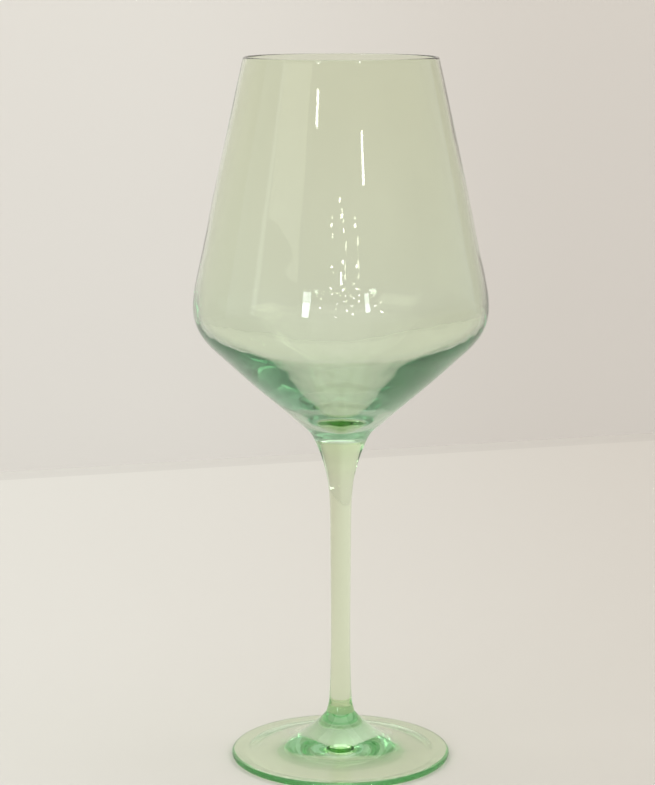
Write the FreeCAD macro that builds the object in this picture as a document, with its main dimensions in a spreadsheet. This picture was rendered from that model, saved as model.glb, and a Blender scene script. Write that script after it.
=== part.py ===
# Stemmed wine glass in tinted glass: a thin blown bowl, a drawn stem and a
# pressed foot, each its own solid, fused face to face at two rings.
# Frame: +Z up along the axis of revolution, origin at the centre of the
# circle on which the foot stands.  Millimetres.
import FreeCAD, Part
import os
import Sketcher

V = FreeCAD.Vector
doc = FreeCAD.newDocument("WineGlass")

# ---------------------------------------------------------------- dimensions
# Radii are measured from the axis, heights from the table.  Each wall is a
# clamped cubic spline; the rows below are its poles, from its first end to its
# last, and its knots are lengths along the wall.  The end poles marked None
# take their place from the named dimensions, so neighbours always meet.
BOWL_OUTER = [  # rim, sloping side, belly, cone, joint with the stem
    None, (32.76, 220.95), (36.10, 205.27), (40.93, 184.40), (44.11, 167.60),
    (46.96, 156.16), (47.82, 147.20), (44.78, 139.63), (37.64, 133.41),
    (29.13, 125.17), (19.99, 117.75), (13.17, 111.50), (9.80, 108.90), None]
BOWL_OUTER_KNOTS = [24.5, 48.1, 64.5, 75.7, 83.7, 90.8, 99.8, 111.5, 126.6, 134.9, 140.2]
BOWL_INNER = [  # rim, side, belly, cone, rounded well on the axis
    None, (31.66, 220.95), (34.98, 205.30), (39.78, 184.50), (42.88, 167.80),
    (45.46, 156.60), (46.12, 147.57), (43.14, 140.72), (34.30, 134.51), (24.80, 127.06),
    (15.50, 120.50), (8.26, 115.14), (0.91, 112.78), None]
BOWL_INNER_KNOTS = [25.0, 42.8, 59.2, 71.5, 80.7, 89.7, 99.7, 110.9, 121.6, 130.8, 139.7]
STEM_OUTER = [  # joint with the bowl, flare, shank, collar, joint with the foot
    None, (7.80, 104.62), (6.07, 100.41), (4.17, 93.53), (3.38, 84.44),
    (3.37, 68.46), (3.12, 48.62), (3.18, 30.69), (3.55, 21.19), (3.79, 17.35),
    (4.47, 15.70), None]
STEM_OUTER_KNOTS = [6.3, 13.5, 21.5, 33.5, 61.5, 81.0, 87.3, 90.0, 92.5]
FOOT_TOP = [  # joint with the stem, dome, start of the edge
    None, (5.18, 14.11), (6.90, 11.99), (10.52, 8.95), (16.04, 5.08), (24.27, 2.47),
    (31.65, 2.45), None]
FOOT_TOP_KNOTS = [4.4, 9.1, 15.8, 23.4, 34.6]
FOOT_UNDER = [  # resting ring, hollow, axis
    None, (25.00, 1.06), (16.00, 1.58), (8.21, 4.02), None]
FOOT_UNDER_KNOTS = [14.6, 31.3]

sheet = doc.addObject("Spreadsheet::Sheet", "Dimensions")
used_rows = [0]
values = {}


def put(alias, value, note=""):
    """One named dimension: its note, its plain number and its alias."""
    used_rows[0] += 1
    n = used_rows[0]
    sheet.set("A%d" % n, note or alias)
    sheet.set("B%d" % n, ("%.4f" % value).rstrip("0").rstrip("."))
    sheet.setAlias("B%d" % n, alias)
    values[alias] = float(value)


put("overall_height", 228.90, "table to the top of the rim")
put("rim_radius", 30.98, "outer radius where the lip rounding starts")
put("rim_wall", 1.10, "wall thickness at the rim")
put("bowl_floor_height", 112.78, "table to the lowest point inside the bowl")
put("joint_upper_height", 106.50, "table to the bowl and stem joint")
put("joint_upper_radius", 8.68, "radius of the bowl and stem joint")
put("joint_lower_height", 14.85, "table to the stem and foot joint")
put("joint_lower_radius", 4.55, "radius of the stem and foot joint")
put("foot_radius", 35.90, "largest radius of the foot")
put("foot_edge_round", 1.08, "radius of the rounding along the foot's edge")
put("foot_edge_start", 35.10, "radius where the dome runs into that rounding")
put("rest_inner", 30.79, "inner radius of the flat ring the glass stands on")
put("foot_hollow", 4.02, "rise of the hollow under the foot, on the axis")


def put_poles(prefix, poles):
    for i, pole in enumerate(poles):
        if pole is not None:
            put("%s_radius_%d" % (prefix, i), pole[0])
            put("%s_height_%d" % (prefix, i), pole[1])


put_poles("bowl_outer", BOWL_OUTER)
put_poles("bowl_inner", BOWL_INNER)
put_poles("stem_outer", STEM_OUTER)
put_poles("foot_top", FOOT_TOP)
put_poles("foot_under", FOOT_UNDER)
doc.recompute()


# ------------------------------------------------------------ sketch helpers
def at(name):
    """The expression that reads one cell."""
    return "Dimensions." + name


def evaluate(expression):
    """The number that a simple expression over the sheet gives now."""
    total = 0.0
    for term in expression.replace("- ", "+ -").split("+ "):
        term = term.strip()
        sign = -1.0 if term.startswith("-") else 1.0
        name = term.lstrip("-").strip()
        scale = 1.0
        if " / " in name:
            name, divisor = name.split(" / ")
            scale = 1.0 / float(divisor)
        total += sign * scale * values[name.replace("Dimensions.", "")]
    return total


def new_body(label):
    b = doc.addObject("PartDesign::Body", label)
    b.Label = label
    b.Placement = FreeCAD.Placement()
    doc.recompute()
    return b


def profile_sketch(body, name):
    """A sketch on the body's own XZ plane: x is the radius, y the height."""
    sk = body.newObject("Sketcher::SketchObject", name)
    plane = [o for o in body.Origin.OriginFeatures if o.Role == "XZ_Plane"][0]
    sk.AttachmentSupport = [(plane, "")]
    sk.MapMode = "FlatFace"
    doc.recompute()
    return sk


def bind(sk, kind, args, expression):
    """A driving constraint whose value comes from the sheet."""
    i = sk.addConstraint(Sketcher.Constraint(kind, *args, evaluate(expression)))
    sk.setExpression("Constraints[%d]" % i, expression)


def place(sk, geo, pos, r_expr, z_expr):
    """Fix a point at a radius and a height; no radius means on the axis."""
    if r_expr is None:
        sk.addConstraint(Sketcher.Constraint("PointOnObject", geo, pos, -2))
    else:
        bind(sk, "DistanceX", (-1, 1, geo, pos), r_expr)
    if z_expr is not None:
        bind(sk, "DistanceY", (-1, 1, geo, pos), z_expr)


def spline(sk, prefix, poles, knots, first_end, last_end, loose=()):
    """Clamped cubic spline whose poles are bound to the sheet.

    The height of a loose pole is left to what it is joined to."""
    exprs = []
    for i, pole in enumerate(poles):
        if pole is None:
            exprs.append(first_end if i == 0 else last_end)
        else:
            exprs.append((at("%s_radius_%d" % (prefix, i)), at("%s_height_%d" % (prefix, i))))
    pts = [V(0.0 if r is None else evaluate(r), evaluate(z), 0) for r, z in exprs]
    curve = Part.BSplineCurve()
    curve.buildFromPolesMultsKnots(pts, [4] + [1] * (len(knots) - 1) + [4],
                                   [0.0] + list(knots), False, 3)
    g = sk.addGeometry(curve, False)
    first = g + 1
    for p in pts:
        sk.addGeometry(Part.Circle(p, V(0, 0, 1), 0.4), True)
    sk.addConstraint([Sketcher.Constraint("InternalAlignment:Sketcher::BSplineControlPoint",
                                          first + i, 3, g, i) for i in range(len(pts))])
    sk.addConstraint(Sketcher.Constraint("Weight", first, 1.0))
    sk.addConstraint([Sketcher.Constraint("Equal", first, first + i)
                      for i in range(1, len(pts))])
    for i, (r, z) in enumerate(exprs):
        place(sk, first + i, 3, r, z if i not in loose else None)
    return g


def line(sk, a, b):
    return sk.addGeometry(Part.LineSegment(V(a[0], a[1], 0), V(b[0], b[1], 0)), False)


def arc(sk, a, m, b):
    """Arc through three points; says which of its ends is at a."""
    g = sk.addGeometry(Part.Arc(V(a[0], a[1], 0), V(m[0], m[1], 0), V(b[0], b[1], 0)), False)
    start = sk.getPoint(g, 1)
    near_a = (start - V(a[0], a[1], 0)).Length < 1e-6
    return (g, 1, 2) if near_a else (g, 2, 1)


def join(sk, g1, p1, g2, p2):
    sk.addConstraint(Sketcher.Constraint("Coincident", g1, p1, g2, p2))


def revolve(body, sk, name):
    solved = sk.solve()
    if solved != 0 or not sk.Shape.isClosed():
        raise SystemExit("sketch %s is not solved or not closed" % sk.Name)
    rev = body.newObject("PartDesign::Revolution", name)
    rev.Profile = sk
    rev.ReferenceAxis = (sk, ["V_Axis"])
    rev.Angle = 360.0
    body.Tip = rev
    doc.recompute()
    return rev


# ---------------------------------------------------------------------- bowl
# Blown wall that thickens from the rim down the cone, a fire-polished round
# lip, a rounded well inside, and a flat disc below where the stem is fused on.
bowl = new_body("bowl")
sk = profile_sketch(bowl, "BowlProfile")
lip_height = at("overall_height") + " - " + at("rim_wall") + " / 2"
rim_out = (at("rim_radius"), lip_height)
rim_in = (at("rim_radius") + " - " + at("rim_wall"), lip_height)
upper_joint = (at("joint_upper_radius"), at("joint_upper_height"))
outer = spline(sk, "bowl_outer", BOWL_OUTER, BOWL_OUTER_KNOTS, rim_out, upper_joint)
inner = spline(sk, "bowl_inner", BOWL_INNER, BOWL_INNER_KNOTS, rim_in,
               (None, at("bowl_floor_height")))
a = (evaluate(rim_out[0]), evaluate(rim_out[1]))
b = (evaluate(rim_in[0]), evaluate(rim_in[1]))
lip, lip_a, lip_b = arc(sk, a, ((a[0] + b[0]) / 2.0, values["overall_height"]), b)
floor_line = line(sk, (0, values["bowl_floor_height"]), (0, values["joint_upper_height"]))
base_line = line(sk, (0, values["joint_upper_height"]),
                 (values["joint_upper_radius"], values["joint_upper_height"]))
join(sk, lip, lip_a, outer, 1)
join(sk, lip, lip_b, inner, 1)
bind(sk, "DistanceY", (-1, 1, lip, 3), lip_height)
join(sk, floor_line, 1, inner, 2)
join(sk, floor_line, 2, base_line, 1)
join(sk, base_line, 2, outer, 2)
sk.addConstraint(Sketcher.Constraint("PointOnObject", floor_line, 2, -2))
sk.addConstraint(Sketcher.Constraint("Horizontal", base_line))
doc.recompute()
revolve(bowl, sk, "BowlWall")

# ---------------------------------------------------------------------- stem
# Solid drawn rod: a trumpet flare that carries the bowl's slope on, a long
# slim shank, and a small collar where it is fused to the foot.
stem = new_body("stem")
sk = profile_sketch(stem, "StemProfile")
lower_joint = (at("joint_lower_radius"), at("joint_lower_height"))
side = spline(sk, "stem_outer", STEM_OUTER, STEM_OUTER_KNOTS, upper_joint, lower_joint)
top_line = line(sk, (0, values["joint_upper_height"]),
                (values["joint_upper_radius"], values["joint_upper_height"]))
core_line = line(sk, (0, values["joint_upper_height"]), (0, values["joint_lower_height"]))
end_line = line(sk, (0, values["joint_lower_height"]),
                (values["joint_lower_radius"], values["joint_lower_height"]))
join(sk, top_line, 2, side, 1)
join(sk, top_line, 1, core_line, 1)
join(sk, core_line, 2, end_line, 1)
join(sk, end_line, 2, side, 2)
sk.addConstraint(Sketcher.Constraint("Vertical", core_line))
sk.addConstraint(Sketcher.Constraint("PointOnObject", core_line, 1, -2))
sk.addConstraint(Sketcher.Constraint("Horizontal", top_line))
sk.addConstraint(Sketcher.Constraint("Horizontal", end_line))
doc.recompute()
revolve(stem, sk, "StemRod")

# ---------------------------------------------------------------------- foot
# Spun disc: a steep dome under the stem that runs out almost flat, a rounded
# edge, a flat ring to stand on, and a shallow hollow inside that ring.
foot = new_body("foot")
sk = profile_sketch(foot, "FootProfile")
rest_outer = at("foot_radius") + " - " + at("foot_edge_round")
p_centre = (evaluate(rest_outer), values["foot_edge_round"])
run = values["foot_edge_start"] - p_centre[0]
p_edge = (values["foot_edge_start"],
          p_centre[1] + (values["foot_edge_round"] ** 2 - run ** 2) ** 0.5)
values["edge_start_height"] = p_edge[1]
dome = spline(sk, "foot_top", FOOT_TOP, FOOT_TOP_KNOTS, lower_joint,
              (at("foot_edge_start"), at("edge_start_height")),
              loose=(len(FOOT_TOP) - 1,))
p_wide = (values["foot_radius"], p_centre[1])
p_rest_out = (p_centre[0], 0.0)
p_rest_in = (values["rest_inner"], 0.0)
p_hollow = (0.0, values["foot_hollow"])
edge, edge_a, edge_b = arc(sk, p_edge, p_wide, p_rest_out)
rest = line(sk, p_rest_out, p_rest_in)
# the hollow's first pole takes its height from the resting ring
values["table_height"] = 0.0
under = spline(sk, "foot_under", FOOT_UNDER, FOOT_UNDER_KNOTS,
               (at("rest_inner"), at("table_height")), (None, at("foot_hollow")),
               loose=(0,))
core = line(sk, p_hollow, (0.0, values["joint_lower_height"]))
cap = line(sk, (0.0, values["joint_lower_height"]),
           (values["joint_lower_radius"], values["joint_lower_height"]))
join(sk, edge, edge_a, dome, 2)
join(sk, edge, edge_b, rest, 1)
bind(sk, "Radius", (edge,), at("foot_edge_round"))
sk.addConstraint(Sketcher.Constraint("Vertical", edge, 3, rest, 1))
sk.addConstraint(Sketcher.Constraint("PointOnObject", rest, 1, -1))
bind(sk, "DistanceX", (-1, 1, rest, 1), rest_outer)
sk.addConstraint(Sketcher.Constraint("PointOnObject", rest, 2, -1))
join(sk, under, 1, rest, 2)
join(sk, under, 2, core, 1)
join(sk, core, 2, cap, 1)
join(sk, cap, 2, dome, 1)
sk.addConstraint(Sketcher.Constraint("PointOnObject", core, 2, -2))
sk.addConstraint(Sketcher.Constraint("Horizontal", cap))
doc.recompute()
revolve(foot, sk, "FootDisc")

# -------------------------------------------------------------- check, write
doc.recompute()
bad = [o.Label for o in doc.Objects if "Invalid" in o.State or "Error" in o.State]
if bad:
    raise SystemExit("failed objects: " + ", ".join(bad))
nodes = [bowl, stem, foot]
for b in nodes:
    s = b.Shape
    if s.isNull() or not s.isValid() or len(s.Solids) != 1:
        raise SystemExit("bad shape: " + b.Label)
for first, second in ((bowl, stem), (stem, foot), (bowl, foot)):
    shared = first.Shape.common(second.Shape)
    if shared.Volume > 1e-3:
        raise SystemExit("%s and %s overlap" % (first.Label, second.Label))

os.makedirs("parts", exist_ok=True)
for b in nodes:
    b.Shape.exportStep("parts/%s.step" % b.Label)
    bb = b.Shape.optimalBoundingBox(True, False)
    print("%-5s volume %.1f mm3, z %.2f to %.2f, radius %.2f"
          % (b.Label, b.Shape.Volume, bb.ZMin, bb.ZMax, bb.XMax))
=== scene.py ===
import math
import bpy
import bmesh
from mathutils import Vector, Matrix


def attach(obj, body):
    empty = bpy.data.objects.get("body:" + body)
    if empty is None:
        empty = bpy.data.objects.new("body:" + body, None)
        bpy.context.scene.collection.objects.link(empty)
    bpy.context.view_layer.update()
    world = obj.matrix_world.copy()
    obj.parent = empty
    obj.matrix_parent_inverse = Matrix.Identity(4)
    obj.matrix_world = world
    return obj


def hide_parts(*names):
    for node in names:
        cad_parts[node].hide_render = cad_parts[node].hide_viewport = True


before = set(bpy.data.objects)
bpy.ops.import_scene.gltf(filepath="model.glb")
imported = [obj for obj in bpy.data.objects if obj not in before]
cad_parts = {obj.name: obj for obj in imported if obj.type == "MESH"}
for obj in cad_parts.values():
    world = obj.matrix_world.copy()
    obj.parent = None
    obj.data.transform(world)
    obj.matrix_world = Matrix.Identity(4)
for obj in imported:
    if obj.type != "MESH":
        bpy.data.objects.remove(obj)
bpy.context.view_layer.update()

MM = 0.001

# ---------------------------------------------------------------- profiles
# The same clamped cubic splines as the frame's, radius and height in mm.
BOWL_OUTER = [
    (30.98, 228.35), (32.76, 220.95), (36.10, 205.27), (40.93, 184.40), (44.11, 167.60),
    (46.96, 156.16), (47.82, 147.20), (44.78, 139.63), (37.64, 133.41),
    (29.13, 125.17), (19.99, 117.75), (13.17, 111.50), (9.80, 108.90), (8.68, 106.50)]
BOWL_OUTER_KNOTS = [24.5, 48.1, 64.5, 75.7, 83.7, 90.8, 99.8, 111.5, 126.6, 134.9, 140.2]
BOWL_INNER = [
    (29.88, 228.35), (31.66, 220.95), (34.98, 205.30), (39.78, 184.50), (42.88, 167.80),
    (45.46, 156.60), (46.12, 147.57), (43.14, 140.72), (34.30, 134.51), (24.80, 127.06),
    (15.50, 120.50), (8.26, 115.14), (0.91, 112.78), (0.00, 112.78)]
BOWL_INNER_KNOTS = [25.0, 42.8, 59.2, 71.5, 80.7, 89.7, 99.7, 110.9, 121.6, 130.8, 139.7]
STEM_OUTER = [
    (8.68, 106.50), (7.80, 104.62), (6.07, 100.41), (4.17, 93.53), (3.38, 84.44),
    (3.37, 68.46), (3.12, 48.62), (3.18, 30.69), (3.55, 21.19), (3.79, 17.35),
    (4.47, 15.70), (4.55, 14.85)]
STEM_OUTER_KNOTS = [6.3, 13.5, 21.5, 33.5, 61.5, 81.0, 87.3, 90.0, 92.5]
FOOT_EDGE = 1.08
FOOT_RADIUS = 35.90
FOOT_EDGE_START = 35.10
FOOT_REST_INNER = 30.79
FOOT_HOLLOW = 4.02
edge_c = FOOT_RADIUS - FOOT_EDGE
edge_z = FOOT_EDGE + math.sqrt(FOOT_EDGE ** 2 - (FOOT_EDGE_START - edge_c) ** 2)
FOOT_TOP = [
    (4.55, 14.85), (5.18, 14.11), (6.90, 11.99), (10.52, 8.95), (16.04, 5.08),
    (24.27, 2.47), (31.65, 2.45), (FOOT_EDGE_START, edge_z)]
FOOT_TOP_KNOTS = [4.4, 9.1, 15.8, 23.4, 34.6]
FOOT_UNDER = [
    (FOOT_REST_INNER, 0.0), (25.00, 1.06), (16.00, 1.58), (8.21, FOOT_HOLLOW),
    (0.00, FOOT_HOLLOW)]
FOOT_UNDER_KNOTS = [14.6, 31.3]


def spline_points(poles, knots, step):
    """Points on a clamped cubic spline, about `step` mm apart (de Boor)."""
    t = [0.0] * 4 + list(knots[:-1]) + [knots[-1]] * 4
    n = max(8, int(round(knots[-1] / step)))
    out = []
    for k in range(n + 1):
        u = knots[-1] * k / n
        s = 3
        while s < len(poles) - 1 and u >= t[s + 1]:
            s += 1
        d = [Vector(poles[s - 3 + j]) for j in range(4)]
        for r in range(1, 4):
            for j in range(3, r - 1, -1):
                i = s - 3 + j
                a = (u - t[i]) / (t[i + 4 - r] - t[i])
                d[j] = d[j - 1] * (1 - a) + d[j] * a
        out.append((d[3].x, d[3].y))
    return out


def arc_points(cx, cz, rad, a0, a1, n):
    """Points on an arc from a0 to a1 degrees, both ends included."""
    return [(cx + rad * math.cos(math.radians(a0 + (a1 - a0) * k / n)),
             cz + rad * math.sin(math.radians(a0 + (a1 - a0) * k / n))) for k in range(n + 1)]


def lathe(name, runs, segments, joints=()):
    """Closed body of revolution from runs of profile points.

    Neighbouring runs share an end point, and the ring there is a crease.
    Points with radius 0 close the body on its axis.  A run whose index is in
    `joints` is a fused face: its faces carry joint = 1."""
    bm = bmesh.new()
    rings = []          # (verts, z)
    tag = bm.faces.layers.float.new("joint")
    crease_edges = []
    cs = [(math.cos(2 * math.pi * k / segments), math.sin(2 * math.pi * k / segments))
          for k in range(segments)]
    lip = bm.verts

    def ring(r, z):
        if r < 1e-6:
            return [lip.new((0.0, 0.0, z * MM))]
        return [lip.new((r * c * MM, r * s * MM, z * MM)) for c, s in cs]

    first = None
    prev = None
    for ri, (pts, crease) in enumerate(runs):
        start = 0 if prev is None else 1
        for i in range(start, len(pts)):
            closing = (ri == len(runs) - 1 and i == len(pts) - 1 and first is not None
                       and abs(pts[i][0] - runs[0][0][0][0]) < 1e-6
                       and abs(pts[i][1] - runs[0][0][0][1]) < 1e-6)
            cur = first if closing else ring(*pts[i])
            if first is None:
                first = cur
            if prev is not None:
                m = max(len(prev), len(cur))
                for k in range(m):
                    k2 = (k + 1) % m
                    if len(prev) == 1:
                        vs = [prev[0], cur[k], cur[k2]]
                    elif len(cur) == 1:
                        vs = [prev[k], cur[0], prev[k2]]
                    else:
                        vs = [prev[k], cur[k], cur[k2], prev[k2]]
                    f = bm.faces.new(vs)
                    f.smooth = True
                    f[tag] = 1.0 if ri in joints else 0.0
            prev = cur
        if crease and len(prev) > 1:
            crease_edges.append(prev)
    bm.edges.ensure_lookup_table()
    for rg in crease_edges:
        s = set(rg)
        for v in rg:
            for e in v.link_edges:
                if e.other_vert(v) in s:
                    e.smooth = False
    bmesh.ops.recalc_face_normals(bm, faces=bm.faces[:])
    me = bpy.data.meshes.new(name)
    bm.to_mesh(me)
    bm.free()
    ob = bpy.data.objects.new(name, me)
    bpy.context.scene.collection.objects.link(ob)
    return ob


SEG = 224
GAP = 0.005      # mm that each fused face stands back from its joint plane


def raised(pts, dz):
    return [(r, z + dz) for r, z in pts]


rim_wall = BOWL_OUTER[0][0] - BOWL_INNER[0][0]
rim_c = (BOWL_OUTER[0][0] + BOWL_INNER[0][0]) / 2
bowl_outer = spline_points(BOWL_OUTER, BOWL_OUTER_KNOTS, 0.8)
bowl_inner = spline_points(BOWL_INNER, BOWL_INNER_KNOTS, 0.8)
lip_arc = arc_points(rim_c, BOWL_OUTER[0][1], rim_wall / 2, 180, 0, 14)
joint_hi = [(8.68 * k / 10, 106.50) for k in range(11)]
bowl = lathe("bowl_blown", [
    (list(reversed(bowl_inner)), False),
    (lip_arc, False),
    (bowl_outer, True),
    (list(reversed(raised(joint_hi, GAP))), False)], SEG, joints=(3,))

stem_side = spline_points(STEM_OUTER, STEM_OUTER_KNOTS, 0.6)
joint_lo = [(4.55 * k / 8, 14.85) for k in range(9)]
stem = lathe("stem_drawn", [
    (raised(joint_hi, -GAP), True),
    (stem_side, True),
    (list(reversed(raised(joint_lo, GAP))), False)], 128, joints=(0, 2))

foot_top = spline_points(FOOT_TOP, FOOT_TOP_KNOTS, 0.5)
a_start = math.degrees(math.asin((edge_z - FOOT_EDGE) / FOOT_EDGE))
edge_arc = arc_points(edge_c, FOOT_EDGE, FOOT_EDGE, a_start, -90, 18)
rest_ring = [(edge_c + (FOOT_REST_INNER - edge_c) * k / 6, 0.0) for k in range(7)]
under = spline_points(FOOT_UNDER, FOOT_UNDER_KNOTS, 0.6)
foot = lathe("foot_spun", [
    (raised(joint_lo, -GAP), True),
    (foot_top, False),
    (edge_arc, False),
    (rest_ring, False),
    (under, False)], SEG, joints=(0,))

for piece, node, slot in ((bowl, "bowl", "bowl_glass"), (stem, "stem", "stem_glass"),
                          (foot, "foot", "foot_glass")):
    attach(piece, "root")
    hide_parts(node)


# --------------------------------------------------------------- materials
def glass(name, tint, tint_low, absorb, density, wave, seed, rough=0.012):
    """Tinted blown glass: clear gloss, faint waviness and drawing lines."""
    m = bpy.data.materials.new(name)
    m.use_nodes = True
    nt = m.node_tree
    nt.nodes.clear()
    N = nt.nodes.new
    L = nt.links.new
    out = N("ShaderNodeOutputMaterial")
    bsdf = N("ShaderNodeBsdfPrincipled")
    bsdf.inputs["Transmission Weight"].default_value = 1.0
    bsdf.inputs["IOR"].default_value = 1.5
    bsdf.inputs["Roughness"].default_value = rough
    bsdf.inputs["Metallic"].default_value = 0.0
    # faint streaks of tint, as the colour lies a little unevenly in the gather
    geo = N("ShaderNodeTexCoord")
    mp = N("ShaderNodeMapping")
    mp.inputs["Scale"].default_value = (38.0, 38.0, 7.0)
    mp.inputs["Location"].default_value = (seed, seed * 0.7, 0.0)
    L(geo.outputs["Object"], mp.inputs["Vector"])
    ns = N("ShaderNodeTexNoise")
    ns.inputs["Scale"].default_value = 1.0
    ns.inputs["Detail"].default_value = 3.0
    ns.inputs["Roughness"].default_value = 0.5
    L(mp.outputs["Vector"], ns.inputs["Vector"])
    ramp = N("ShaderNodeValToRGB")
    ramp.color_ramp.elements[0].position = 0.3
    ramp.color_ramp.elements[1].position = 0.7
    lo = [c * 0.985 for c in tint]
    hi = [min(1.0, c * 1.01) for c in tint]
    ramp.color_ramp.elements[0].color = (*lo, 1.0)
    ramp.color_ramp.elements[1].color = (*hi, 1.0)
    L(ns.outputs["Fac"], ramp.inputs["Fac"])
    # the glass grows paler and cooler from the rim down to the belly
    sep = N("ShaderNodeSeparateXYZ")
    L(geo.outputs["Object"], sep.inputs[0])
    down = N("ShaderNodeMapRange")
    down.inputs["From Min"].default_value = 0.215
    down.inputs["From Max"].default_value = 0.150
    L(sep.outputs["Z"], down.inputs["Value"])
    drift = N("ShaderNodeMix")
    drift.data_type = "RGBA"
    drift.blend_type = "MULTIPLY"
    drift.inputs["B"].default_value = (*[b / a for a, b in zip(tint, tint_low)], 1.0)
    L(down.outputs["Result"], drift.inputs["Factor"])
    L(ramp.outputs["Color"], drift.inputs["A"])
    L(drift.outputs["Result"], bsdf.inputs["Base Color"])
    # waviness of the fire-polished skin
    mp2 = N("ShaderNodeMapping")
    mp2.inputs["Scale"].default_value = (60.0, 60.0, 14.0)
    mp2.inputs["Location"].default_value = (seed * 1.3, 0.0, seed)
    L(geo.outputs["Object"], mp2.inputs["Vector"])
    ns2 = N("ShaderNodeTexNoise")
    ns2.inputs["Scale"].default_value = 1.0
    ns2.inputs["Detail"].default_value = 2.0
    L(mp2.outputs["Vector"], ns2.inputs["Vector"])
    bump = N("ShaderNodeBump")
    bump.inputs["Strength"].default_value = wave
    bump.inputs["Distance"].default_value = 0.0004
    L(ns2.outputs["Fac"], bump.inputs["Height"])
    L(bump.outputs["Normal"], bsdf.inputs["Normal"])
    # fused faces inside the joints are not a surface at all
    at = N("ShaderNodeAttribute")
    at.attribute_name = "joint"
    mr = N("ShaderNodeMapRange")
    mr.inputs["To Min"].default_value = 1.5
    mr.inputs["To Max"].default_value = 1.0
    L(at.outputs["Fac"], mr.inputs["Value"])
    L(mr.outputs["Result"], bsdf.inputs["IOR"])
    vol = N("ShaderNodeVolumeAbsorption")
    vol.inputs["Color"].default_value = (*absorb, 1.0)
    vol.inputs["Density"].default_value = density
    L(bsdf.outputs["BSDF"], out.inputs["Surface"])
    L(vol.outputs["Volume"], out.inputs["Volume"])
    return m


# absorption per metre = density * (1 - colour)
DENS = 30.0
ABS_BOWL = (23.5, 13.5, 19.5)
ABS_STEM = (19.0, 8.0, 25.0)
ABS_FOOT = (26.0, 9.0, 23.0)
TINT_BOWL = (0.918, 0.940, 0.834)
TINT_BELLY = (0.934, 0.968, 0.876)
TINT_STEM = (0.950, 0.965, 0.850)
TINT_FOOT = (0.955, 0.980, 0.880)
for piece, ab, tint, low, wave, seed in (
        (bowl, ABS_BOWL, TINT_BOWL, TINT_BELLY, 0.25, 3.0),
        (stem, ABS_STEM, TINT_STEM, TINT_STEM, 0.15, 11.0),
        (foot, ABS_FOOT, TINT_FOOT, TINT_FOOT, 0.15, 23.0)):
    slot_name = piece.name.split("_")[0] + "_glass"
    piece.data.materials.append(
        glass(slot_name, tint, low, [1 - a / DENS for a in ab], DENS, wave, seed))


# ------------------------------------------------------------------- stage
def painted_falloff_paint(name, left, right, rough=0.8):
    """Matt paint with a painted light falloff: lighter on the left, darker towards the right."""
    m = bpy.data.materials.new(name)
    m.use_nodes = True
    nt = m.node_tree
    b = nt.nodes["Principled BSDF"]
    b.inputs["Roughness"].default_value = rough
    b.inputs["Specular IOR Level"].default_value = 0.15
    co = nt.nodes.new("ShaderNodeTexCoord")
    sep = nt.nodes.new("ShaderNodeSeparateXYZ")
    nt.links.new(co.outputs["Object"], sep.inputs[0])
    mr = nt.nodes.new("ShaderNodeMapRange")
    mr.interpolation_type = "SMOOTHSTEP"
    mr.inputs["From Min"].default_value = -0.20
    mr.inputs["From Max"].default_value = 0.24
    nt.links.new(sep.outputs["X"], mr.inputs["Value"])
    mix = nt.nodes.new("ShaderNodeMix")
    mix.data_type = "RGBA"
    mix.inputs["A"].default_value = (*left, 1.0)
    mix.inputs["B"].default_value = (*right, 1.0)
    nt.links.new(mr.outputs["Result"], mix.inputs["Factor"])
    nt.links.new(mix.outputs["Result"], b.inputs["Base Color"])
    return m


# each right-hand colour is darker than its left-hand one: a painted light falloff across the set
FLOOR_LEFT = (0.636, 0.627, 0.590)
FLOOR_RIGHT = (0.541, 0.511, 0.469)
WALL_LEFT = (0.784, 0.762, 0.717)
WALL_RIGHT = (0.704, 0.666, 0.617)
# darker paint for the table's far edge: painted shade for the shadow line where the table meets the wall
EDGE_SHADE_LEFT = (0.588, 0.578, 0.544)
EDGE_SHADE_RIGHT = (0.507, 0.479, 0.441)
FLOOR_Z = -0.0001      # a hair below the foot, as glass never wets the table


def add_sheet(name, profile, base, paints, slot_of):
    """A ruled sheet: a profile of (depth, height) drawn out along the set's line."""
    bm = bmesh.new()
    yaw = math.radians(17.0)
    ex = Vector((math.cos(yaw), math.sin(yaw), 0))       # along the line
    ey = Vector((-math.sin(yaw), math.cos(yaw), 0))      # away from the glass
    rows = []
    for d, z in profile:
        rows.append([bm.verts.new(base + ey * d + ex * u + Vector((0, 0, z)))
                     for u in (-3.4, -1.7, 0.0, 1.7, 3.4)])
    for k, (a, b) in enumerate(zip(rows, rows[1:])):
        for i in range(len(a) - 1):
            f = bm.faces.new((a[i], a[i + 1], b[i + 1], b[i]))
            f.smooth = True
            f.material_index = slot_of(k)
    me = bpy.data.meshes.new(name)
    bm.to_mesh(me)
    bm.free()
    ob = bpy.data.objects.new(name, me)
    bpy.context.scene.collection.objects.link(ob)
    for paint in paints:
        me.materials.append(paint)
    return ob


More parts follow.
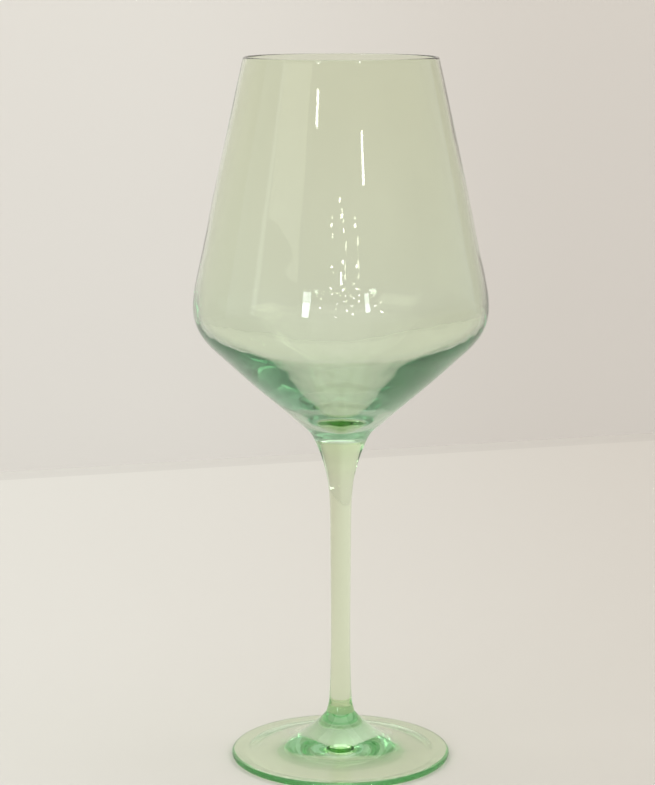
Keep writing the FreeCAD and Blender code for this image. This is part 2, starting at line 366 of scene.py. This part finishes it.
def stage_set():
    """Pale table, whose far edge stands a little askew, and a wall behind it."""
    table = [(-3.2, 0.0), (-2.0, 0.0), (-1.0, 0.0), (-0.6, 0.0), (-0.3, 0.0), (-0.1, 0.0),
             (-0.020, 0.0), (0.0, 0.0)]
    n = 8
    for k in range(1, n + 1):
        a = math.pi / 2 * k / n
        table.append((0.006 * math.sin(a), -0.006 * (1 - math.cos(a))))
    table.append((0.006, -0.30))
    edge = Vector((0.0, 0.50, FLOOR_Z))
    # the last 20 mm of the table and its rounded edge take the darker edge paint, a painted shade line
    # along the far edge
    add_sheet("table", table, edge,
              [painted_falloff_paint("floor_paint", FLOOR_LEFT, FLOOR_RIGHT),
               painted_falloff_paint("edge_paint", EDGE_SHADE_LEFT, EDGE_SHADE_RIGHT)], lambda k: 0 if k < 6 else 1)
    wall = [(0.0, -1.2), (0.0, -0.5), (0.0, 0.0), (0.0, 0.5), (0.0, 1.2), (0.0, 2.8)]
    add_sheet("wall", wall, Vector((0.0, 1.5, 0.0)),
              [painted_falloff_paint("wall_paint", WALL_LEFT, WALL_RIGHT)], lambda k: 0)


stage_set()

# ------------------------------------------------------------------ lights
world = bpy.data.worlds.new("studio")
bpy.context.scene.world = world
world.use_nodes = True
bg = world.node_tree.nodes["Background"]
bg.inputs["Color"].default_value = (1.0, 0.985, 0.96, 1.0)
bg.inputs["Strength"].default_value = 0.78


def area(name, loc, target, size, power, colour=(1, 1, 1)):
    ld = bpy.data.lights.new(name, "AREA")
    ld.shape = "RECTANGLE"
    ld.size, ld.size_y = size
    ld.energy = power
    ld.color = colour
    ob = bpy.data.objects.new(name, ld)
    ob.location = loc
    d = Vector(target) - Vector(loc)
    ob.rotation_euler = d.to_track_quat("-Z", "Y").to_euler()
    ob.visible_camera = False
    bpy.context.scene.collection.objects.link(ob)
    return ob


def panel(name, azimuth, elevation, width, height, radiance, dist=1.5, colour=(1, 1, 1)):
    """A small bright window, placed by the direction it is seen in from the
    middle of the bowl: azimuth from the camera's side, positive to the right."""
    mid = Vector((0, 0, 0.17))
    a, e = math.radians(azimuth), math.radians(elevation)
    loc = mid + dist * Vector((math.sin(a) * math.cos(e), -math.cos(a) * math.cos(e), math.sin(e)))
    w = 2 * dist * math.tan(math.radians(width) / 2)
    h = 2 * dist * math.tan(math.radians(height) / 2)
    return area(name, loc, mid, (w, h), math.pi * w * h * radiance, colour)


# one wide soft ceiling, which also brightens the lip of the glass
area("ceiling", (0.0, 0.0, 2.2), (0.0, 0.0, 0.0), (2.6, 2.6), math.pi * 2.6 * 2.6 * 0.8, (1.0, 0.99, 0.97))
for lamp in (area("key", (1.5, -0.15, 1.6), (0, 0.1, 0.1), (0.9, 0.9), 5, (1.0, 0.985, 0.955)),
             area("fill", (-1.6, -1.2, 1.3), (0, 0.3, 0.2), (1.3, 1.3), 7, (1.0, 0.99, 0.97))):
    # the two soft boxes light the set; the glass mirrors the windows instead
    lamp.visible_glossy = False
# a wash for the wall alone
wash = area("wall_wash", (0.0, 0.55, 2.0), (0.0, 1.5, 0.2), (2.6, 0.5), 6, (1.0, 0.99, 0.97))
wash.visible_glossy = False
wash.visible_transmission = False
panel("window_left_high", -26.0, 22.4, 2.2, 1.8, 16)
panel("window_right_high", 21.5, 20.7, 1.8, 1.8, 16)
panel("window_left_low", -27.0, 7.0, 5.0, 9.0, 14, colour=(0.86, 0.92, 1.0))
panel("window_right_low", 20.5, 9.2, 3.6, 4.5, 15, colour=(0.86, 0.92, 1.0))
panel("window_side", -70.0, 12.0, 4.0, 24.0, 0.7, colour=(0.90, 0.96, 1.0))
for i, (a, e, w, h) in enumerate((
        (-1.0, 19.0, 1.0, 0.3), (0.6, 17.6, 1.6, 0.45), (-8.0, 16.8, 1.2, 0.25), (2.0, 16.5, 1.2, 0.25),
        (12.5, 16.6, 1.4, 0.3), (-7.0, 15.5, 1.2, 0.25), (14.5, 15.0, 1.6, 0.3), (4.0, 15.1, 1.2, 0.3),
        (10.0, 14.2, 1.5, 0.45), (3.0, 13.3, 1.2, 0.4), (14.0, 13.0, 1.4, 0.5), (-3.0, 12.0, 1.2, 0.3),
        (8.0, 11.0, 1.2, 0.5), (26.0, 10.5, 1.4, 0.8), (-16.0, 9.5, 1.4, 1.0), (31.0, 7.0, 1.4, 1.4),
        (5.0, 8.5, 1.0, 1.2), (9.0, 6.0, 1.0, 1.2), (-4.0, 4.0, 1.0, 1.2))):
    panel("lamp_%02d" % i, a, e, w, h, 30, colour=(1.0, 0.98, 0.93))

# ------------------------------------------------------------------ camera
cam_data = bpy.data.cameras.new("camera")
cam = bpy.data.objects.new("camera", cam_data)
bpy.context.scene.collection.objects.link(cam)
bpy.context.scene.camera = cam
F_PX = 2352.0
cam_data.sensor_fit = "AUTO"
cam_data.sensor_width = 36.0
cam_data.lens = F_PX / 785.0 * 36.0
cam_data.clip_start = 0.01
cam_data.clip_end = 20.0
tilt = math.radians(10.1)
# the glass's axis stands 13.5 px right of the centre of the picture
yaw = math.atan(13.5 / F_PX)
cam.location = (0.0, -0.747, 0.2546)
cam.rotation_euler = (math.pi / 2 - tilt, 0.0, yaw)

sc = bpy.context.scene
sc.view_settings.view_transform = "Standard"
sc.view_settings.look = "None"
sc.view_settings.exposure = 0.0
sc.view_settings.gamma = 1.0
# light runs far along the inside of the wall and the stem
sc.cycles.blur_glossy = 0.0
sc.cycles.max_bounces = 96
sc.cycles.transmission_bounces = 96
sc.cycles.glossy_bounces = 96
sc.cycles.transparent_max_bounces = 12
